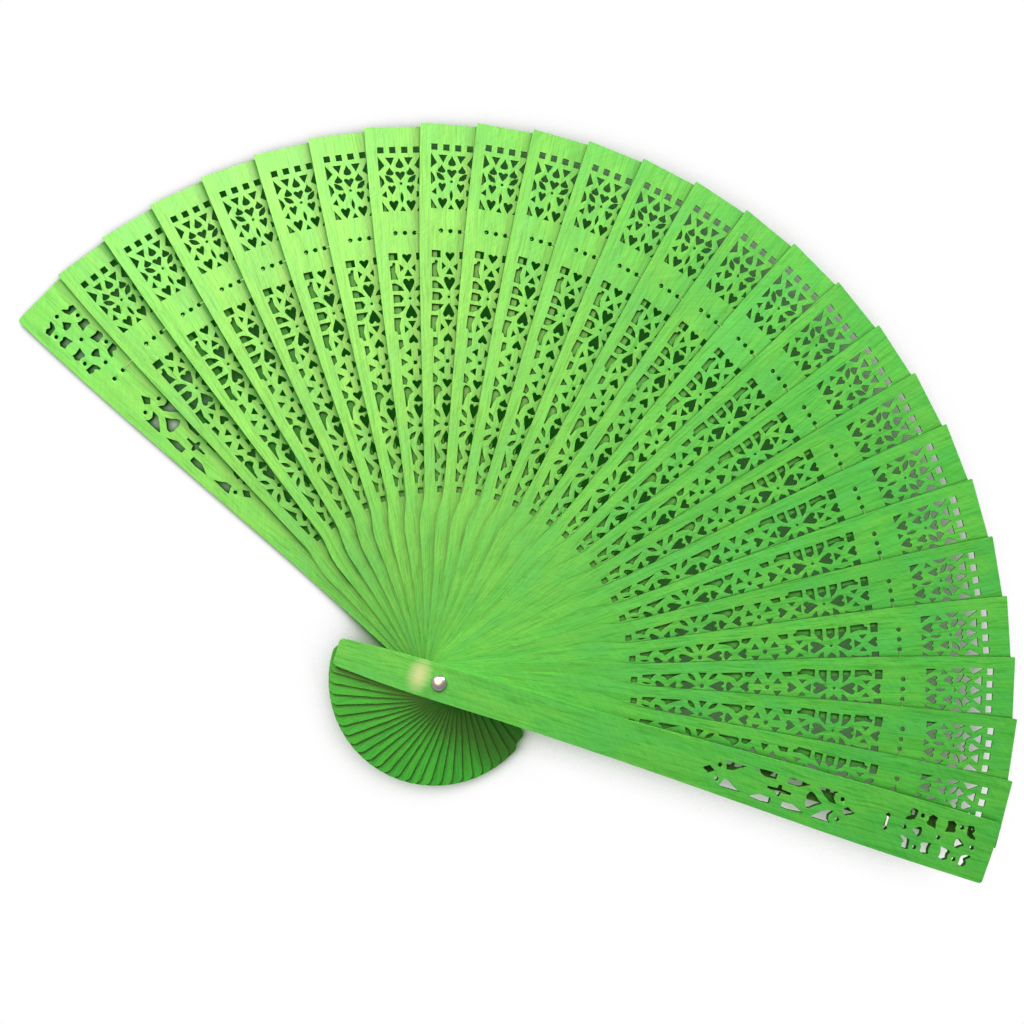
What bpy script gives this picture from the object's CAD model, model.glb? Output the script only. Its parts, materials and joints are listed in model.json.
"""Looks of the pierced wooden hand fan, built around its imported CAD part.

Every blade is rebuilt from its CAD plate with softened rims, a slight warp and dyed wood
grain. The rivet, its cap and the thread get finer meshes of their own.
"""

import json
import math
import random

import bmesh
import bpy
from mathutils import Euler, Matrix, Vector, noise


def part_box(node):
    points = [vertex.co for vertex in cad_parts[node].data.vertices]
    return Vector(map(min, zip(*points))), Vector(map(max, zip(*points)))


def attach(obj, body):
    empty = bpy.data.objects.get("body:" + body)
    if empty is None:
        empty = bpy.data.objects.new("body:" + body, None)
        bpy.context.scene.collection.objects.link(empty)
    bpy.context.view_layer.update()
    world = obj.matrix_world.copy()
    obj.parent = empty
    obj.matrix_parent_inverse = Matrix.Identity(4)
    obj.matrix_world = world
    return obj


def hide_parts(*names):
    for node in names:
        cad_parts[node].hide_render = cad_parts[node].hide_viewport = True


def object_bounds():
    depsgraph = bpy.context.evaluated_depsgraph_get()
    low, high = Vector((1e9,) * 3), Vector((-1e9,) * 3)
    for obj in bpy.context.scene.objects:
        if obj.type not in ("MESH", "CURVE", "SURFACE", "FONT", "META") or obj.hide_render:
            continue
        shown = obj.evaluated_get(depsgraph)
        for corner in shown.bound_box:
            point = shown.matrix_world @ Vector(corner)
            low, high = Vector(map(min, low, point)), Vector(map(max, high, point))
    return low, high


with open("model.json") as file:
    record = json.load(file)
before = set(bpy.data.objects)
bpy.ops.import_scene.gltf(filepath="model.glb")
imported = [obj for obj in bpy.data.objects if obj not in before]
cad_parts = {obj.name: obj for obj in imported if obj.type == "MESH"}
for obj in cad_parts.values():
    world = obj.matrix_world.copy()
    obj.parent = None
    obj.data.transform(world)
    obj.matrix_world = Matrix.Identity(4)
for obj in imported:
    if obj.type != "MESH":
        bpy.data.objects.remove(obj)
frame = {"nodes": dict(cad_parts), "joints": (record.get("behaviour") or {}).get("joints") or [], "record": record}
cad_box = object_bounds()

MM = 0.001

# ---- What the frame says about the blades

SWING = next(j["range_deg"][1] for j in frame["joints"] if j["name"] == "front_guard_turn")
BACK_ANGLE = math.radians(90 + SWING / 2)
SHARES = {c["joint"]: c["ratio"] for c in frame["record"]["behaviour"]["couplings"]}
STICKS = sorted(n for n in frame["nodes"] if n.startswith("stick_"))
THREADS = sorted(n for n in frame["nodes"] if n.startswith("thread_"))


def blade_angle(body):
    """The direction of a body's blade about the rivet, open, in radians."""
    if body == "back_guard":
        share = 0
    elif body == "front_guard":
        share = 1
    else:
        share = SHARES[body + "_turn"]
    return BACK_ANGLE - math.radians(SWING) * share


def body_of(node):
    bodies = frame["record"]["behaviour"]["bodies"]
    return next(body for body, members in bodies.items() if node in members)


def blade_space(body, low):
    """From the shared frame to a blade's own: rivet at the origin, tip along +X, z from low."""
    return Matrix.Rotation(-blade_angle(body), 4, "Z") @ Matrix.Translation((0, 0, -low))


# ---- Meshes

WELD = 1e-6


def cad_copy(node, into):
    """The CAD node's mesh in another space, welded and with its flat triangles merged."""
    bm = bmesh.new()
    bm.from_mesh(frame["nodes"][node].data)
    bmesh.ops.transform(bm, matrix=into, verts=bm.verts)
    bmesh.ops.remove_doubles(bm, verts=bm.verts, dist=WELD)
    bmesh.ops.dissolve_limit(
        bm, angle_limit=math.radians(0.5), verts=bm.verts, edges=bm.edges)
    bm.normal_update()
    return bm


def rims(bm):
    """The edges between a flat face and a wall."""
    found = []
    for edge in bm.edges:
        if len(edge.link_faces) == 2:
            lean = [abs(f.normal.z) for f in edge.link_faces]
            if max(lean) > 0.9 and min(lean) < 0.1:
                found.append(edge)
    return found


def soften(bm, edges, width, segments):
    """Rounds edges off."""
    bmesh.ops.bevel(bm, geom=edges, offset=width, offset_type="OFFSET", segments=segments,
                    profile=0.5, affect="EDGES", clamp_overlap=True)


def slice_across(bm, axis, step):
    """Cuts the mesh at even steps along an axis, so that it has points to warp."""
    places = [v.co[axis] for v in bm.verts]
    count = int((max(places) - min(places)) / step)
    normal = Vector((0, 0, 0))
    normal[axis] = 1
    for i in range(1, count + 1):
        point = normal * (min(places) + i * (max(places) - min(places)) / (count + 1))
        bmesh.ops.bisect_plane(bm, geom=bm.verts[:] + bm.edges[:] + bm.faces[:],
                               dist=WELD, plane_co=point, plane_no=normal)


def as_object(bm, name, back):
    """Puts a mesh back in the shared frame as a smooth-shaded object."""
    bmesh.ops.triangulate(bm, faces=[f for f in bm.faces if len(f.verts) > 4])
    bmesh.ops.transform(bm, matrix=back, verts=bm.verts)
    bm.normal_update()
    mesh = bpy.data.meshes.new(name)
    bm.to_mesh(mesh)
    bm.free()
    mesh.shade_smooth()
    made = bpy.data.objects.new(name, mesh)
    bpy.context.scene.collection.objects.link(made)
    return made


def place(piece, body, node, material):
    """Gives a piece its material and ties it to its body and to the CAD node it stands for."""
    piece.data.materials.append(material)
    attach(piece, body)
    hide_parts(node)


# A blade's rounded rim as a share of its thickness, and the grid that its faces are cut into
RIM_SHARE = 0.1
RIM_SEGMENTS = 2
SLICE = 3 * MM
# How far the plate and its punched edges wander, and over what length
WARP = 0.02 * MM
WARP_LENGTH = 14 * MM
RAGGED = 0.035 * MM
RAGGED_LENGTH = 0.9 * MM
# The bore stays true, and the wander grows from around it to its full size further out
QUIET_RADIUS = 3 * MM
QUIET_SHARE = 0.4
SEED_STEP = 17.3
NOISE_SEED = 5


def roughen(bm, seed):
    """A slight warp of the plate, and punched edges that aren't quite straight."""
    # Vector noise starts from a new place in each run unless it is seeded
    noise.seed_set(NOISE_SEED)
    shift = Vector((0, 0, seed))
    for v in bm.verts:
        away = min(1, Vector(v.co.xy).length / QUIET_RADIUS - QUIET_SHARE)
        if away <= 0:
            continue
        flat = Vector((v.co.x, v.co.y, 0))
        wander = noise.noise_vector(flat / RAGGED_LENGTH + shift) * RAGGED * away
        v.co.x += wander.x
        v.co.y += wander.y
        v.co.z += noise.noise(flat / WARP_LENGTH + shift) * WARP


# Each board's grain is read this much further on, in mm, so that no two are alike
BOARD_GAP = 9
# The outline is measured in strips of this length. Holes lie within a share of its width
EDGE_STRIP = 2 * SLICE
PIERCED_SHARE = 0.85
# A board's outer walls take less of the dark dye than its punched holes
RIM_DYE = 0.35
# The deep strip beside the next blade's edge: it fades out over this many sticks from the
# back guard, grows from near the rivet, and is narrow there
DEEP_STICKS = 15
DEEP_FROM = 5 * MM
DEEP_GROWTH = 40 * MM
STRIP_WIDTH = 4.6 * MM
STRIP_GROWN = 105 * MM
STRIP_LEAST = 0.1


def store(mesh, name, kind, domain, values):
    """Adds an attribute and fills it from a flat list of numbers."""
    field = "vector" if kind == "FLOAT_VECTOR" else "value"
    mesh.attributes.new(name, kind, domain).data.foreach_set(field, values)


def half_widths(mesh, own):
    """Half a blade's width in each strip along it."""
    edge = {}
    for v in mesh.vertices:
        p = own @ v.co
        strip = round(p.x / EDGE_STRIP)
        edge[strip] = max(edge.get(strip, 0), abs(p.y))
    return edge


def pierced_area(edge):
    """Tells whether a point of a blade is well inside its outline, where only holes are."""
    first, last = min(edge) * EDGE_STRIP, max(edge) * EDGE_STRIP

    def inside(p):
        return (abs(p.y) < PIERCED_SHARE * edge[round(p.x / EDGE_STRIP)]
                and first + EDGE_STRIP / 2 < p.x < last - EDGE_STRIP / 2)
    return inside


def neighbour_edge(edge, step):
    """How far a point lies from the edge of the blade on top, a step further on, as a share
    of the strip's width there. The strip is narrow near the rivet."""
    def away(p):
        half = edge[round(p.x / EDGE_STRIP)]
        width = STRIP_WIDTH * min(1, max(STRIP_LEAST, p.x / STRIP_GROWN))
        return (p.y * math.cos(step) + p.x * math.sin(step) - half) / width
    return away


def store_board(mesh, own, number, step):
    """What the wood materials read: where each point lies in its own board in mm, the
    board's tone, how far each face is a dark punched wall, and the strip beside the
    neighbour's edge. Real sticks tilt, and shade one another there. These lie flat, so the
    strip is given a deeper green."""
    edge = half_widths(mesh, own)
    inside = pierced_area(edge)
    away = neighbour_edge(edge, step)
    points = [own @ v.co for v in mesh.vertices]
    shifted = [c for p in points for c in (p.x / MM, p.y / MM, p.z / MM + BOARD_GAP * number)]
    tone = random.Random(number).uniform(-1, 1)
    deep = max(0, 1 - number / DEEP_STICKS) if step else 0
    store(mesh, "grain", "FLOAT_VECTOR", "POINT", shifted)
    store(mesh, "tone", "FLOAT", "POINT", [tone] * len(points))
    store(mesh, "beside", "FLOAT", "POINT", [away(p) for p in points])
    store(mesh, "deep", "FLOAT", "POINT",
          [deep * min(1, max(0, (p.x - DEEP_FROM) / DEEP_GROWTH)) for p in points])
    walls = [(1 - min(1, abs(p.normal.z))) * (1 if inside(own @ p.center) else RIM_DYE)
             for p in mesh.polygons]
    store(mesh, "cut", "FLOAT", "FACE", walls)


def blade(node, number, material, above=None):
    """One wooden blade. above is the body of the blade that lies on it."""
    body = body_of(node)
    step = blade_angle(body) - blade_angle(above) if above else 0
    low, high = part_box(node)
    own = blade_space(body, low.z)
    bm = cad_copy(node, own)
    soften(bm, rims(bm), RIM_SHARE * (high.z - low.z), RIM_SEGMENTS)
    slice_across(bm, 0, SLICE)
    slice_across(bm, 1, SLICE)
    roughen(bm, SEED_STEP * number)
    piece = as_object(bm, "wood_" + node, own.inverted())
    store_board(piece.data, own, number, step)
    weighted = piece.modifiers.new("weighted", "WEIGHTED_NORMAL")
    weighted.weight = 60
    place(piece, body, node, material)
    return piece


# ---- Materials

def new_material(name):
    material = bpy.data.materials.new(name)
    material.use_nodes = True
    tree = material.node_tree
    return material, tree, tree.nodes["Principled BSDF"]


def add(tree, kind, inputs=None, **settings):
    """A new node with its settings, and its inputs set to values or linked to sockets."""
    made = tree.nodes.new(kind)
    for key, value in settings.items():
        setattr(made, key, value)
    for name, value in (inputs or {}).items():
        if isinstance(value, bpy.types.NodeSocket):
            tree.links.new(value, made.inputs[name])
        else:
            made.inputs[name].default_value = value
    return made


def attribute(tree, name):
    return add(tree, "ShaderNodeAttribute", attribute_name=name)


def stretched_noise(tree, vector, scale, detail=3.0, roughness=0.55):
    """Noise of about one blob per millimetre, scaled along, across and through the board."""
    scaled = add(tree, "ShaderNodeVectorMath", {0: vector, 1: scale}, operation="MULTIPLY")
    return add(tree, "ShaderNodeTexNoise", {
        "Vector": scaled.outputs[0], "Scale": 1.0, "Detail": detail, "Roughness": roughness,
    }).outputs["Fac"]


def remap(tree, value, low, high, to_low=0.0, to_high=1.0):
    return add(tree, "ShaderNodeMapRange", {
        "Value": value, "From Min": low, "From Max": high, "To Min": to_low, "To Max": to_high,
    }).outputs["Result"]


def blend_colour(tree, factor, first, second, mode="MIX"):
    made = add(tree, "ShaderNodeMix", data_type="RGBA", blend_type=mode)
    for index, value in ((0, factor), (6, first), (7, second)):
        if isinstance(value, bpy.types.NodeSocket):
            tree.links.new(value, made.inputs[index])
        elif index:
            made.inputs[index].default_value = (*value, 1)
        else:
            made.inputs[index].default_value = value
    return made.outputs[2]


def maths(tree, operation, first, second):
    return add(tree, "ShaderNodeMath", {0: first, 1: second}, operation=operation).outputs[0]


# The dye where it is even, deep, yellowish, cool, in the punched walls and in the shade, the
# wood without it, and what it is multiplied by in the sticks' tail
DYE = (0.087, 0.5, 0.059)
DYE_DEEP = (0.04, 0.36, 0.028)
DYE_YELLOW = (0.137, 0.54, 0.06)
DYE_COOL = (0.065, 0.47, 0.09)
DYE_CUT = (0.004, 0.1, 0.002)
DYE_SHADED = (0.006, 0.13, 0.006)
BARE_WOOD = (0.6, 0.66, 0.28)
TAIL_TINT = (0.45, 0.95, 0.6)
STRIP_FALL = 1.4


def dyed_wood(name, worn=False):
    """Green-dyed veneer: long streaks, short pores, cloudy dye and darker punched walls."""
    material, tree, shader = new_material(name)
    grain = attribute(tree, "grain").outputs["Vector"]
    drift = stretched_noise(tree, grain, (0.03, 0.12, 0.12), 2)
    bend = add(tree, "ShaderNodeCombineXYZ", {"Y": remap(tree, drift, 0, 1, -1.5, 1.5)})
    fibre = add(tree, "ShaderNodeVectorMath", {0: grain, 1: bend.outputs[0]}).outputs[0]

    broad = stretched_noise(tree, fibre, (0.02, 0.5, 0.5), 3)
    fine = stretched_noise(tree, fibre, (0.09, 3.2, 3.2), 4, 0.7)
    strokes = stretched_noise(tree, fibre, (0.11, 1.5, 1.5), 2)
    pores = stretched_noise(tree, fibre, (0.35, 5.0, 5.0), 1)
    cloud = stretched_noise(tree, grain, (0.06, 0.13, 0.3), 3)
    marks = add(tree, "ShaderNodeVectorRotate", {"Vector": grain, "Angle": math.radians(50)},
                rotation_type="Z_AXIS").outputs[0]
    sawn = stretched_noise(tree, marks, (0.12, 1.6, 0.5), 2)

    colour = blend_colour(tree, remap(tree, cloud, 0.52, 0.38, 0, 0.55), DYE, DYE_YELLOW)
    colour = blend_colour(tree, remap(tree, cloud, 0.5, 0.66, 0, 0.45), colour, DYE_COOL)
    colour = blend_colour(tree, remap(tree, broad, 0.5, 0.7, 0, 0.4), colour, DYE_DEEP)
    colour = blend_colour(tree, remap(tree, strokes, 0.54, 0.66, 0, 0.65), colour, DYE_DEEP)
    light = maths(tree, "MULTIPLY", remap(tree, fine, 0.3, 0.7, 0.86, 1.14),
                  remap(tree, sawn, 0.3, 0.7, 0.94, 1.06))
    light = maths(tree, "MULTIPLY", light,
                  remap(tree, attribute(tree, "tone").outputs["Fac"], -1, 1, 0.96, 1.04))
    light = maths(tree, "MULTIPLY", light, remap(tree, pores, 0.64, 0.72, 1, 0.7))
    grey = add(tree, "ShaderNodeCombineColor", {"Red": light, "Green": light, "Blue": light})
    colour = blend_colour(tree, 1.0, colour, grey.outputs[0], "MULTIPLY")
    if worn:
        colour = blend_colour(tree, worn_patch(tree, grain, fine), colour, BARE_WOOD)
    else:
        colour = blend_colour(tree, tail_end(tree, grain), colour, TAIL_TINT, "MULTIPLY")
    beside = remap(tree, attribute(tree, "beside").outputs["Fac"], 0, 1, 1, 0)
    strip = maths(tree, "MULTIPLY", maths(tree, "POWER", beside, STRIP_FALL),
                  attribute(tree, "deep").outputs["Fac"])
    corner = maths(tree, "MULTIPLY", crevices(tree), away_from_handle(tree, grain))
    shaded = maths(tree, "MAXIMUM", strip, corner)
    colour = blend_colour(tree, shaded, colour, DYE_SHADED)
    cut = remap(tree, attribute(tree, "cut").outputs["Fac"], 0.3, 0.9)
    colour = blend_colour(tree, cut, colour, DYE_CUT)
    tree.links.new(colour, shader.inputs["Base Color"])

    rough = maths(tree, "MAXIMUM", remap(tree, fine, 0.3, 0.7, 0.49, 0.36),
                  maths(tree, "MAXIMUM", shaded, cut))
    tree.links.new(rough, shader.inputs["Roughness"])
    shader.inputs["Specular IOR Level"].default_value = 0.2
    height = maths(tree, "ADD", maths(tree, "MULTIPLY", fine, 0.7),
                   maths(tree, "MULTIPLY", broad, 0.3))
    bump = add(tree, "ShaderNodeBump", {"Height": height, "Strength": 0.5,
                                        "Distance": 0.06 * MM})
    tree.links.new(bump.outputs["Normal"], shader.inputs["Normal"])
    return material


CREVICE_REACH = 2.4 * MM
CREVICE_SKY = (0.9, 0.52)
CREVICE_DEPTH = 0.92


def crevices(tree):
    """How dark the corners are where blades lie on one another and inside the holes."""
    sky = add(tree, "ShaderNodeAmbientOcclusion", {"Distance": CREVICE_REACH}, samples=6)
    return remap(tree, sky.outputs["AO"], *CREVICE_SKY, 0, CREVICE_DEPTH)


# Places along a blade in mm from the rivet
TAIL_EDGE = (-2, -8)
HANDLE_MIDDLE = 20
HANDLE_REACH = (12, 46)
HANDLE_CREVICES = 0.05


def tail_end(tree, grain):
    """How far a point lies into the tail, past the rivet, which is a deeper green."""
    along = add(tree, "ShaderNodeSeparateXYZ", {0: grain}).outputs["X"]
    return remap(tree, along, *TAIL_EDGE)


def away_from_handle(tree, grain):
    """How much of the crevices' darkness shows. On the plain handle they are pale."""
    along = add(tree, "ShaderNodeSeparateXYZ", {0: grain}).outputs["X"]
    away = maths(tree, "ABSOLUTE", maths(tree, "SUBTRACT", along, HANDLE_MIDDLE), 0)
    return remap(tree, away, *HANDLE_REACH, HANDLE_CREVICES, 1)


# The worn patch's middle and half size, in mm along and across the front guard
WORN_AT = (-6.0, 0.6)
WORN_HALF = (3.4, 5.2)


def worn_patch(tree, grain, fine):
    """Beside the rivet, where rubbing has taken the dye off."""
    off = add(tree, "ShaderNodeVectorMath", {0: grain, 1: (*WORN_AT, 0)},
              operation="SUBTRACT").outputs[0]
    shrink = (1 / WORN_HALF[0], 1 / WORN_HALF[1], 0)
    off = add(tree, "ShaderNodeVectorMath", {0: off, 1: shrink}, operation="MULTIPLY").outputs[0]
    reach = add(tree, "ShaderNodeVectorMath", {0: off}, operation="LENGTH").outputs["Value"]
    reach = maths(tree, "ADD", reach, remap(tree, fine, 0.3, 0.7, -0.25, 0.25))
    return remap(tree, reach, 0.2, 1.1, 0.95, 0)


NICKEL = (0.7, 0.64, 0.71)
NICKEL_DULL = (0.56, 0.51, 0.57)


def nickel():
    """Satin nickel plate with faint wear."""
    material, tree, shader = new_material("nickel")
    where = add(tree, "ShaderNodeTexCoord").outputs["Object"]
    spots = add(tree, "ShaderNodeTexNoise", {"Vector": where, "Scale": 900.0, "Detail": 4.0})
    haze = spots.outputs["Fac"]
    colour = blend_colour(tree, remap(tree, haze, 0.35, 0.65), NICKEL, NICKEL_DULL)
    tree.links.new(colour, shader.inputs["Base Color"])
    shader.inputs["Metallic"].default_value = 1.0
    tree.links.new(remap(tree, haze, 0.3, 0.7, 0.26, 0.36), shader.inputs["Roughness"])
    bump = add(tree, "ShaderNodeBump", {"Height": haze, "Strength": 0.15,
                                        "Distance": 0.02 * MM})
    tree.links.new(bump.outputs["Normal"], shader.inputs["Normal"])
    return material


def thread_material(name, pale, dim, rough, clear=0.0):
    """Twisted white fibre, or clear drawn nylon."""
    material, tree, shader = new_material(name)
    where = add(tree, "ShaderNodeTexCoord").outputs["Object"]
    strands = add(tree, "ShaderNodeTexNoise", {"Vector": where, "Scale": 2500.0, "Detail": 3.0})
    haze = strands.outputs["Fac"]
    colour = blend_colour(tree, remap(tree, haze, 0.35, 0.65), pale, dim)
    tree.links.new(colour, shader.inputs["Base Color"])
    tree.links.new(remap(tree, haze, 0.3, 0.7, rough, rough + 0.15), shader.inputs["Roughness"])
    shader.inputs["Transmission Weight"].default_value = clear
    bump = add(tree, "ShaderNodeBump", {"Height": haze, "Strength": 0.3,
                                        "Distance": 0.03 * MM})
    tree.links.new(bump.outputs["Normal"], shader.inputs["Normal"])
    return material


# What darkens the table lies within this reach
SHADE_REACH = 30 * MM
# The table's colour by how much of the sky it sees
SHADES = ((0.2, (0.004, 0.06, 0.002)), (0.36, (0.04, 0.13, 0.03)), (0.5, (0.16, 0.24, 0.14)),
          (0.64, (0.34, 0.41, 0.31)), (0.84, (1.0, 1.0, 1.0)))


def table_top():
    """A plain white table, the same all over, that only darkens where it is closely covered."""
    material, tree, shader = new_material("table_top")
    tree.nodes.remove(shader)
    sky = add(tree, "ShaderNodeAmbientOcclusion", {"Distance": SHADE_REACH}, samples=16)
    ramp = add(tree, "ShaderNodeValToRGB", {"Fac": sky.outputs["AO"]})
    stops = ramp.color_ramp.elements
    while len(stops) < len(SHADES):
        stops.new(1.0)
    for stop, (sky_seen, colour) in zip(stops, SHADES):
        stop.position = sky_seen
        stop.color = (*colour, 1)
    glow = add(tree, "ShaderNodeEmission", {"Color": ramp.outputs["Color"]})
    tree.links.new(glow.outputs[0], tree.nodes["Material Output"].inputs["Surface"])
    return material


# ---- The rivet and the thread

LATHE_STEPS = 96
# The shank's radius as a share of the head's, and the air under the head
SHANK_SHARE = 1.0 / 2.3
HEAD_GAP = 0.05 * MM


def lathe(name, profile):
    """Turns a list of (radius, height) about the rivet's axis. It starts and ends on the axis
    or closes on itself."""
    bm = bmesh.new()
    rings = []
    for radius, height in profile:
        if radius < WELD:
            rings.append([bm.verts.new((0, 0, height))])
        else:
            rings.append([bm.verts.new((radius * math.cos(a), radius * math.sin(a), height))
                          for a in (2 * math.pi * i / LATHE_STEPS for i in range(LATHE_STEPS))])
    closed = len(rings[0]) > 1
    pairs = list(zip(rings, rings[1:])) + ([(rings[-1], rings[0])] if closed else [])
    for lower, upper in pairs:
        for i in range(LATHE_STEPS):
            j = (i + 1) % LATHE_STEPS
            corners = [lower[i % len(lower)], lower[j % len(lower)],
                       upper[j % len(upper)], upper[i % len(upper)]]
            bm.faces.new(list(dict.fromkeys(corners)))
    bmesh.ops.recalc_face_normals(bm, faces=bm.faces)
    return as_object(bm, name, Matrix())


def arc_points(centre, radius, start, end, steps):
    """Points (radius, height) on an arc, with its angles in degrees from the horizontal."""
    angles = [math.radians(start + (end - start) * i / steps) for i in range(steps + 1)]
    return [(centre[0] + radius[0] * math.cos(a), centre[1] + radius[1] * math.sin(a))
            for a in angles]


def rivet(material):
    """The shank and its domed head in one piece. Gives the shank's radius."""
    low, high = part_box("rivet")
    head_r = high.x
    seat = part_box("front_guard")[1].z + HEAD_GAP
    shank_r = head_r * SHANK_SHARE
    lip = 0.12 * MM
    end = 0.2 * MM
    profile = [(0, low.z), (shank_r - end, low.z)]
    profile += arc_points((shank_r - end, low.z + end), (end, end), -60, 0, 4)
    profile += [(shank_r, seat)]
    profile += arc_points((head_r - lip, seat + lip), (lip, lip), -90, 20, 6)
    dome = high.z - seat - 2 * lip
    profile += arc_points((0, seat + 2 * lip), (head_r - 1.2 * lip, dome), 4, 90, 22)[:-1]
    profile += [(0, high.z)]
    place(lathe("rivet_head", profile), "back_guard", "rivet", material)
    return shank_r


def rivet_cap(material, shank_r):
    """The flat cap around the shank's end, with a pressed groove."""
    low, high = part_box("rivet_cap")
    edge = 0.15 * MM
    bevel = 0.05 * MM
    flare = 0.1 * MM
    radius = high.x
    bore = shank_r + 0.002 * MM
    groove_at = radius * 0.72
    groove = 0.12 * MM
    profile = [(bore, high.z), (bore, low.z + bevel), (shank_r + flare, low.z)]
    profile += arc_points((groove_at, low.z), (groove, groove), 180, 0, 6)
    profile += arc_points((radius - edge, low.z + edge), (edge, edge), -90, 0, 4)
    profile += [(radius, high.z - bevel), (radius - bevel, high.z)]
    place(lathe("rivet_back_cap", profile), "back_guard", "rivet_cap", material)


# The thread's CAD mesh has some very short edges, which would leave slivers at its round rims
THREAD_WELD = 10 * WELD
THREAD_RIM = 0.03 * MM
THREAD_SEGMENTS = 3


def thread(node, material):
    """The flat nylon thread of one blade, with rounded edges."""
    bm = cad_copy(node, Matrix())
    bmesh.ops.remove_doubles(bm, verts=bm.verts, dist=THREAD_WELD)
    edges = [e for e in bm.edges if len(e.link_faces) == 2 and e.calc_face_angle() > 1]
    soften(bm, edges, THREAD_RIM, THREAD_SEGMENTS)
    bmesh.ops.dissolve_degenerate(bm, dist=WELD, edges=bm.edges)
    piece = as_object(bm, "nylon_" + node, Matrix())
    place(piece, body_of(node), node, material)


CORD_SIDES = 24
CORD_STEP = 0.1 * MM
CORD_BEND = 0.45 * MM
CORD_BEND_STEP = 0.12
# The cord's strands: their number, how deep the grooves are, and how long one turn is
PLY = 3
PLY_DEPTH = 0.16
PLY_LENGTH = 1.1 * MM


def cord_mesh(points, half_width, half_height, side):
    """A twisted cord with an oval section along points. side is the way its width lies."""
    bm = bmesh.new()
    rings = []
    travelled = 0
    for i, point in enumerate(points):
        before = points[max(i - 1, 0)]
        after = points[min(i + 1, len(points) - 1)]
        way = (after - before).normalized()
        rise = side.cross(way).normalized()
        if i:
            travelled += (point - before).length
        turn = 2 * math.pi * travelled / PLY_LENGTH
        ring = []
        for j in range(CORD_SIDES):
            a = 2 * math.pi * j / CORD_SIDES
            swell = 1 - PLY_DEPTH * (1 + math.cos(PLY * (a + turn))) / 2
            ring.append(bm.verts.new(point + side * half_width * swell * math.cos(a)
                                     + rise * half_height * swell * math.sin(a)))
        rings.append(ring)
    for lower, upper in zip(rings, rings[1:]):
        for j in range(CORD_SIDES):
            k = (j + 1) % CORD_SIDES
            bm.faces.new((lower[j], lower[k], upper[k], upper[j]))
    bm.faces.new(rings[0][::-1])
    bm.faces.new(rings[-1])
    bmesh.ops.recalc_face_normals(bm, faces=bm.faces)
    return bm


def stitch(material):
    """The white stitch that ends the thread: over the front guard and down both its holes."""
    body = "front_guard"
    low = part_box("front_guard")[0].z
    own = blade_space(body, low)
    corners = [own @ v.co for v in frame["nodes"]["guard_stitch"].data.vertices]
    lo = Vector(min(c[i] for c in corners) for i in range(3))
    hi = Vector(max(c[i] for c in corners) for i in range(3))
    mid = (lo.x + hi.x) / 2
    half_height = (hi.z - (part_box("front_guard")[1].z - low)) / 2
    bend = CORD_BEND
    left, right = lo.y + half_height, hi.y - half_height
    top = hi.z - half_height
    path = [Vector((mid, left, z)) for z in spaced(0, top - bend, CORD_STEP)]
    path += [Vector((mid, left + bend - bend * math.cos(a), top - bend + bend * math.sin(a)))
             for a in spaced(0, math.pi / 2, CORD_BEND_STEP)]
    path += [Vector((mid, y, top)) for y in spaced(left + bend, right - bend, CORD_STEP)]
    path += [Vector((mid, right - bend + bend * math.sin(a), top - bend + bend * math.cos(a)))
             for a in spaced(0, math.pi / 2, CORD_BEND_STEP)]
    path += [Vector((mid, right, z)) for z in spaced(top - bend, 0, CORD_STEP)]
    path = [p for i, p in enumerate(path) if not i or (p - path[i - 1]).length > WELD]
    bm = cord_mesh(path, (hi.x - lo.x) / 2, half_height, Vector((1, 0, 0)))
    piece = as_object(bm, "stitch", own.inverted())
    place(piece, body, "guard_stitch", material)


def spaced(start, end, step):
    """Numbers from start to end, evenly spaced by about a step."""
    count = max(1, round(abs(end - start) / step))
    return [start + (end - start) * i / count for i in range(count + 1)]


# ---- Floor, light and camera

FLOOR_HALF = 3
FLOOR_DROP = 0.02 * MM


def floor(material):
    """A flat table under the fan, a hair below it so that the two faces don't meet."""
    bm = bmesh.new()
    bmesh.ops.create_grid(bm, x_segments=8, y_segments=8, size=FLOOR_HALF)
    mesh = bpy.data.meshes.new("floor")
    bm.to_mesh(mesh)
    bm.free()
    made = bpy.data.objects.new("floor", mesh)
    made.location.z = -FLOOR_DROP
    made.data.materials.append(material)
    bpy.context.scene.collection.objects.link(made)


def towards(azimuth, elevation):
    """The direction from the fan to a place around it, in degrees from +X and from the table."""
    a, e = math.radians(azimuth), math.radians(elevation)
    return Vector((math.cos(a) * math.cos(e), math.sin(a) * math.cos(e), math.sin(e)))


def area_light(name, azimuth, elevation, distance, size, power, colour=(1, 1, 1)):
    """A soft square light that faces the middle of the fan."""
    light = bpy.data.lights.new(name, "AREA")
    light.size = size
    light.energy = power
    light.color = colour
    made = bpy.data.objects.new(name, light)
    way = towards(azimuth, elevation)
    centre = (cad_box[0] + cad_box[1]) / 2
    made.location = centre + way * distance
    made.rotation_euler = way.to_track_quat("Z", "Y").to_euler()
    bpy.context.scene.collection.objects.link(made)
    return made


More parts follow.
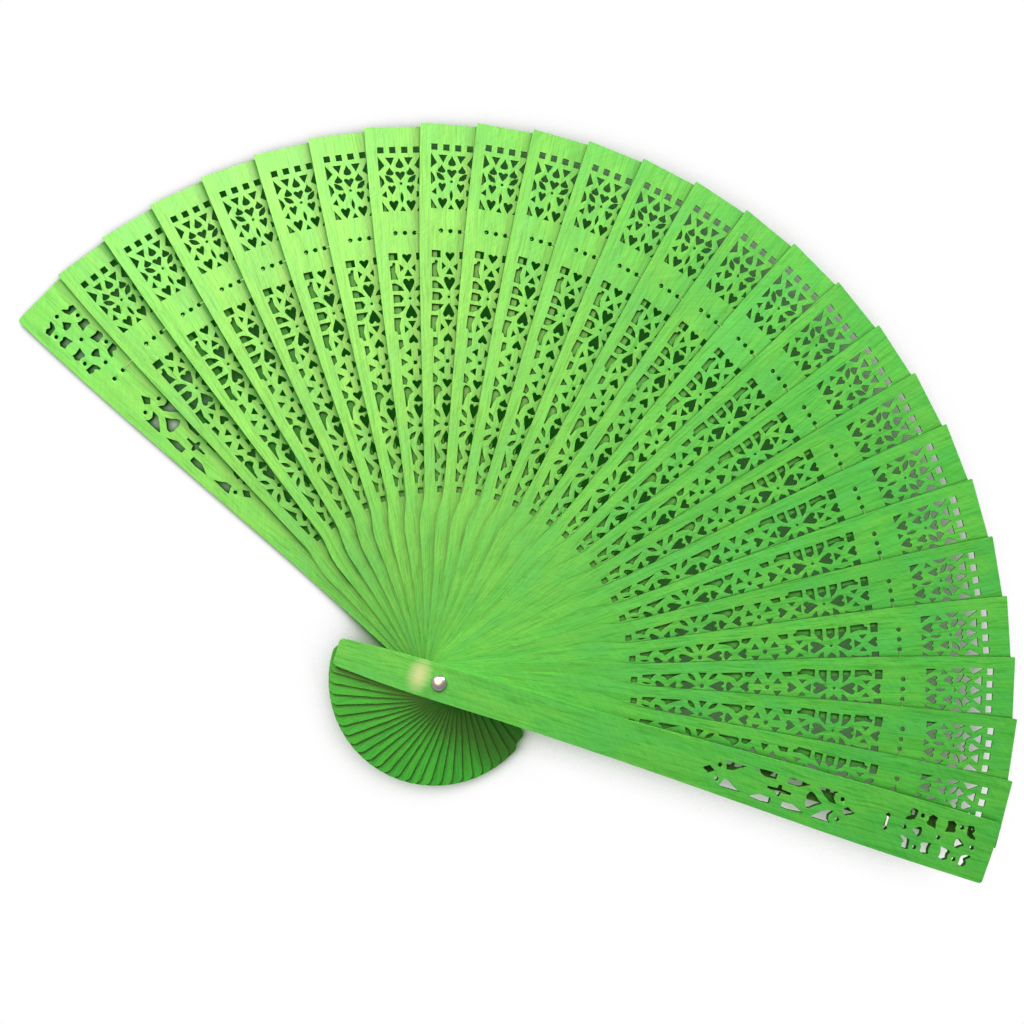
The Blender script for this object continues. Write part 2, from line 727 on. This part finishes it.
def lighting():
    """Soft lamps around the fan. The sheen is seen only in the wood's gloss."""
    area_light("key", 92, 42, 0.9, 0.3, 2.5)
    area_light("low", 74, 12, 1.0, 0.22, 8.0)
    area_light("fill", 157, 40, 0.46, 0.2, 1.85)
    sheen = area_light("sheen", 154, 66, 0.775, 0.45, 22.0, (1, 0.76, 0.3))
    sheen.visible_diffuse = False
    world = bpy.data.worlds.new("studio")
    world.use_nodes = True
    background = world.node_tree.nodes["Background"]
    background.inputs["Color"].default_value = (1, 1, 1, 1)
    background.inputs["Strength"].default_value = 0.28
    bpy.context.scene.world = world


# Where the camera stands above the fan, and how it is turned, in degrees
CAMERA_AT = Vector((-7.31, 35.5, 300)) * MM
CAMERA_TURN = (2.84, -1.86, 30.09)


def camera():
    data = bpy.data.cameras.new("camera")
    data.sensor_width = 36
    data.lens = 34.66
    made = bpy.data.objects.new("camera", data)
    made.location = CAMERA_AT
    made.rotation_euler = Euler([math.radians(a) for a in CAMERA_TURN])
    bpy.context.scene.collection.objects.link(made)
    bpy.context.scene.camera = made


NYLON = (0.16, 0.5, 0.09)
NYLON_DIM = (0.1, 0.42, 0.06)
FIBRE = (0.95, 0.95, 0.93)
FIBRE_DIM = (0.8, 0.82, 0.78)


def build():
    """Makes every piece in turn, then the table, the lamps and the camera."""
    stick_wood = dyed_wood("stick_wood")
    guard_wood = dyed_wood("guard_wood")
    front_wood = dyed_wood("front_guard_wood", worn=True)
    bodies = ["back_guard"] + [body_of(node) for node in STICKS] + ["front_guard"]
    blade("back_guard", 0, guard_wood, bodies[1])
    for number, node in enumerate(STICKS, 1):
        blade(node, number, stick_wood, bodies[number + 1])
    blade("front_guard", len(STICKS) + 1, front_wood)
    metal = nickel()
    rivet_cap(metal, rivet(metal))
    nylon = thread_material("nylon", NYLON, NYLON_DIM, 0.5, clear=0.3)
    for node in THREADS:
        thread(node, nylon)
    stitch(thread_material("stitch_fibre", FIBRE, FIBRE_DIM, 0.6))
    floor(table_top())
    lighting()
    camera()
    bpy.context.scene.view_settings.view_transform = "Standard"


build()
